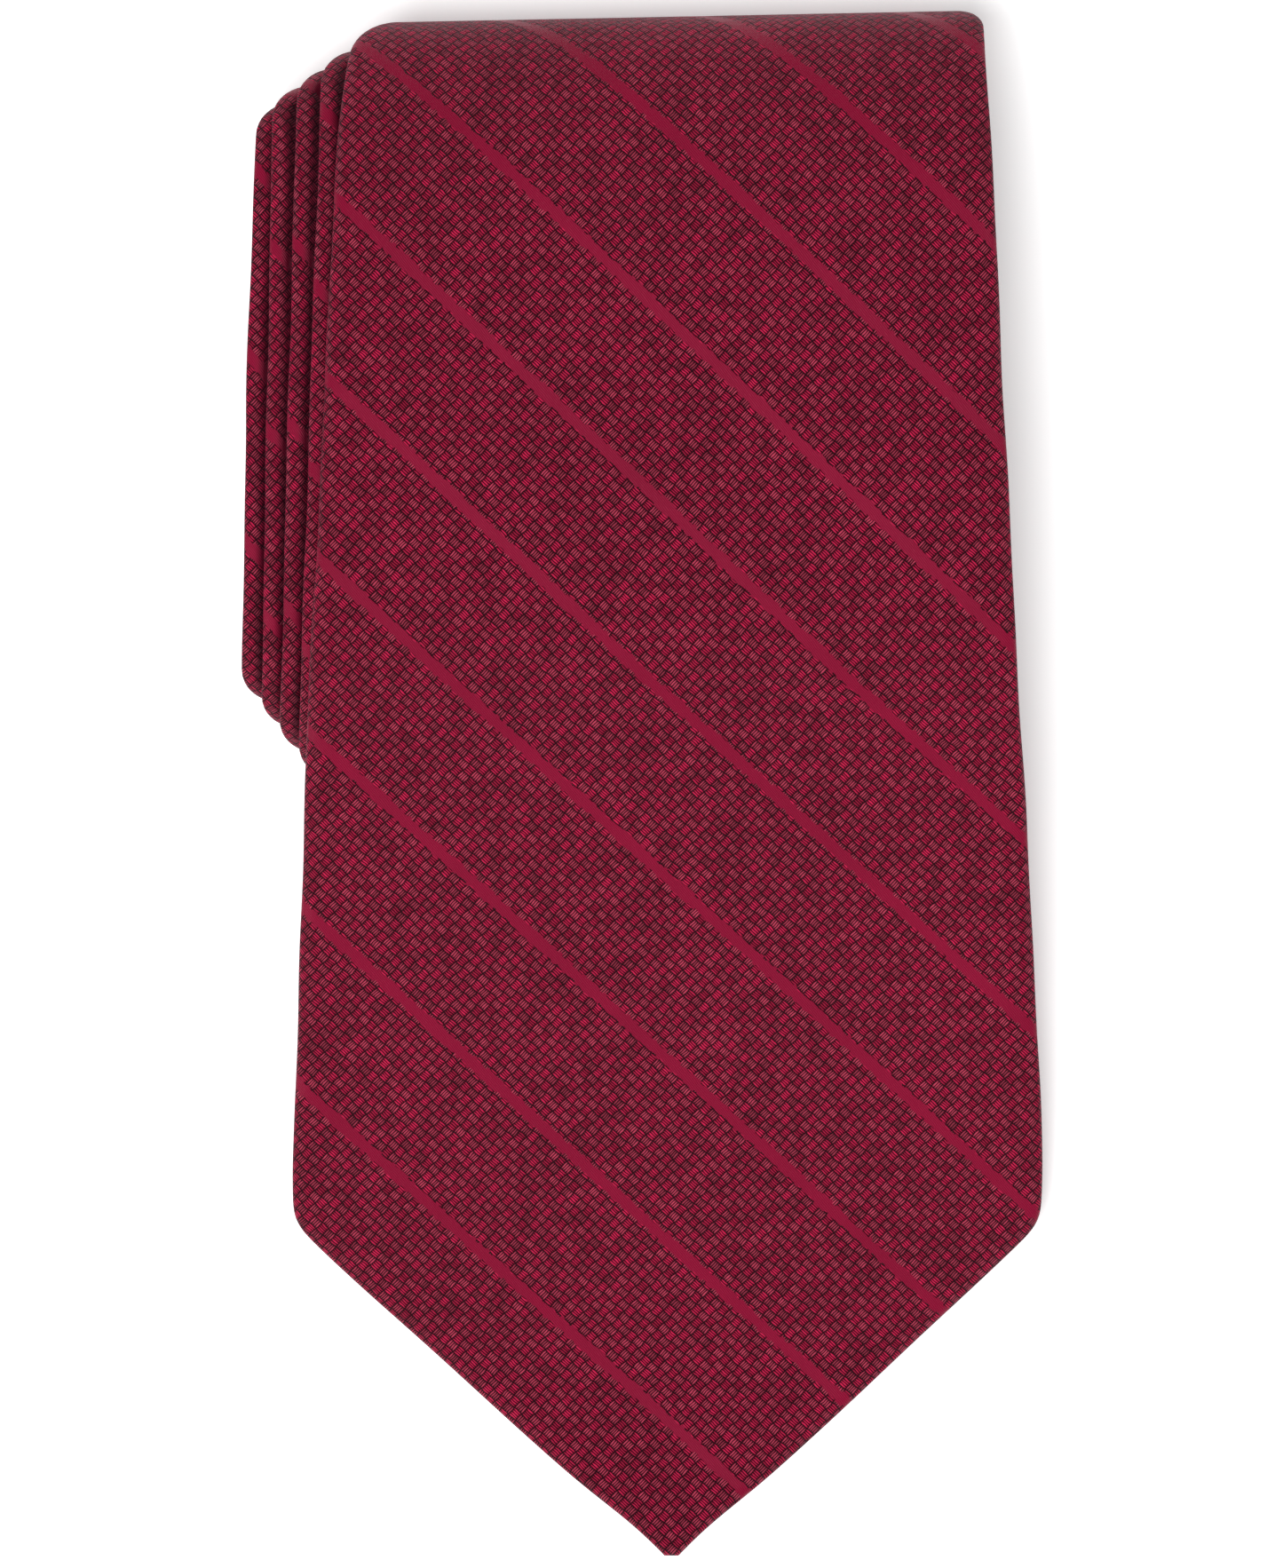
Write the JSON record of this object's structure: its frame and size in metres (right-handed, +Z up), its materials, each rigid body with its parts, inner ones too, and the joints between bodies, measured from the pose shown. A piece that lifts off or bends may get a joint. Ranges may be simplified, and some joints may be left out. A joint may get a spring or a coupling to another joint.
{
  "type": "necktie",
  "caption": "Silk necktie rolled flat for display with its pointed blade on top, which turns back to show the keeper loop and lining.",
  "frame": {"origin": "centre of the rolled tie's footprint on the surface it lies on", "axes": "+Z up through the face of the blade, +Y from the blade's point to the top fold, +X across the blade"},
  "size_m": [0.0894, 0.1716, 0.0299],
  "materials": {
    "silk_face": "soft sheen basket weave with satin stripes",
    "interlining_wool": "matt brushed wool",
    "tipping_satin": "satin lining",
    "thread_cotton": "matt thread",
    "label_damask": "woven damask, blank",
    "care_tape": "printed-tape satin, blank"
  },
  "bodies": {
    "roll": {"blade_shell_rolled": "silk_face", "neck_shell": "silk_face", "tail_shell": "silk_face", "interlining_rolled": "interlining_wool", "tail_tipping": "tipping_satin", "blade_neck_seam": "thread_cotton", "neck_tail_seam": "thread_cotton", "slip_stitch_rolled": "thread_cotton", "tail_bar_tack": "thread_cotton"},
    "panel": {"blade_shell_panel": "silk_face", "interlining_panel": "interlining_wool", "slip_stitch_panel": "thread_cotton", "blank_label": "label_damask", "label_stitches": "thread_cotton", "care_tag": "care_tape"},
    "apron": {"blade_shell_apron": "silk_face", "interlining_apron": "interlining_wool", "blade_tipping": "tipping_satin", "slip_stitch_apron": "thread_cotton", "blade_bar_tack": "thread_cotton", "keeper_loop": "silk_face", "keeper_tacks": "thread_cotton"}
  },
  "joints": [
    {"name": "blade_lift", "type": "hinge", "parent": "roll", "child": "panel", "pos_m": [0, 0.06699, 0.02796], "axis": [-1, 0, 0], "range_deg": [0, 150]},
    {"name": "blade_bend", "type": "hinge", "parent": "panel", "child": "apron", "pos_m": [0, 0.01168, 0.02655], "axis": [-1, 0, 0], "range_deg": [0, 75]}
  ]
}
